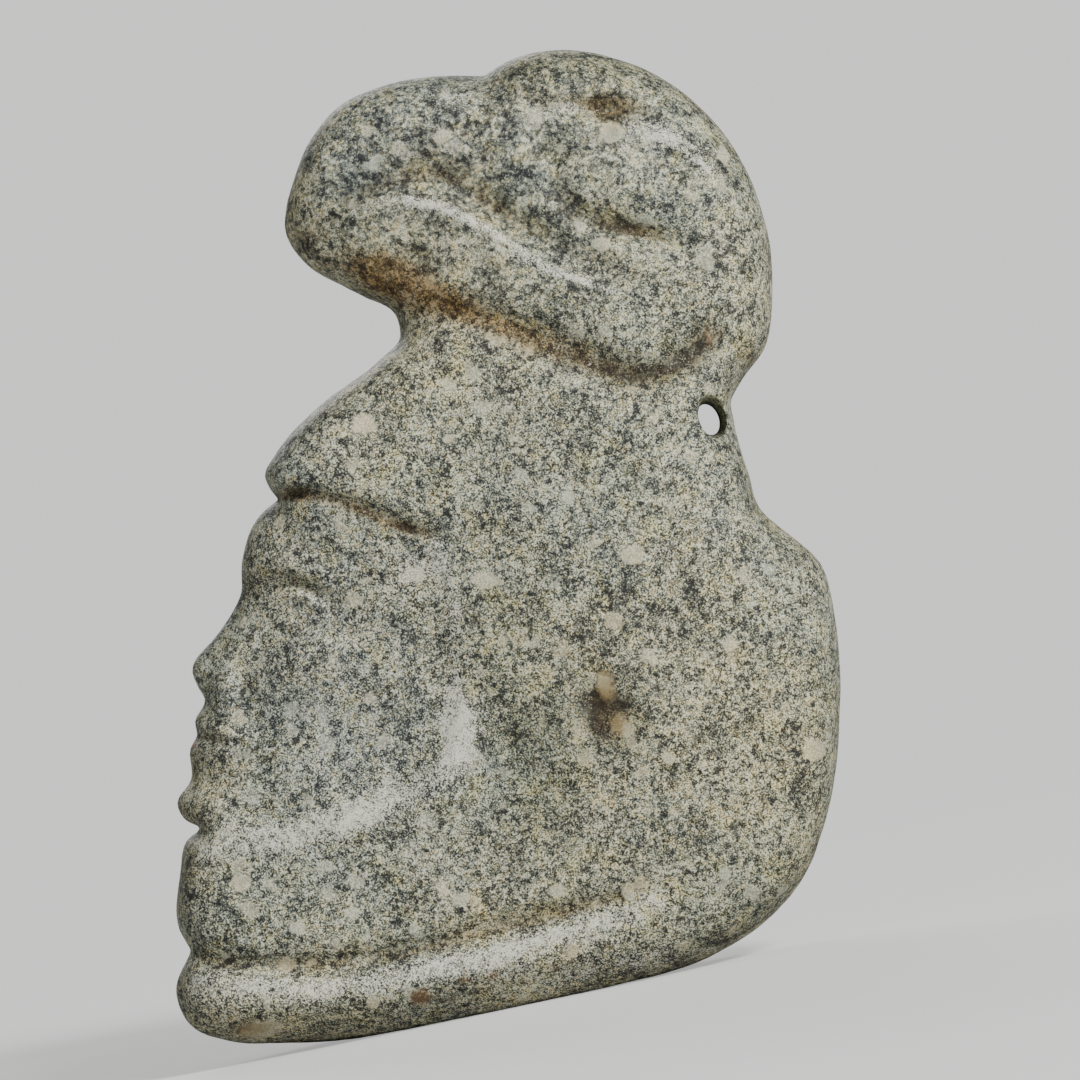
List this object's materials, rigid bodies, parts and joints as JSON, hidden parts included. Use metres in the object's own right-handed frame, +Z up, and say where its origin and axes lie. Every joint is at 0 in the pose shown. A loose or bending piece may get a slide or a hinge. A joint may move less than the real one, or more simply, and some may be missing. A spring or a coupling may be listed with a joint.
{
  "type": "carved stone hacha",
  "caption": "Thin carved stone head in a close helmet, with a big-beaked bird's head on top, a rounded collar band at the foot and a drilled cord hole behind the neck; it stands by itself.",
  "frame": {"origin": "bottom centre of the bounding box, level with the flat that the stone stands on", "axes": "+Z up, the face and the beak look towards -X, the thickness runs along Y"},
  "size_m": [0.2065, 0.068, 0.2601],
  "materials": {
    "stone": "fine salt-and-pepper grey rock with cream crystals, ground smooth and softly worn"
  },
  "bodies": {
    "root": {"hacha": "stone"}
  },
  "joints": []
}
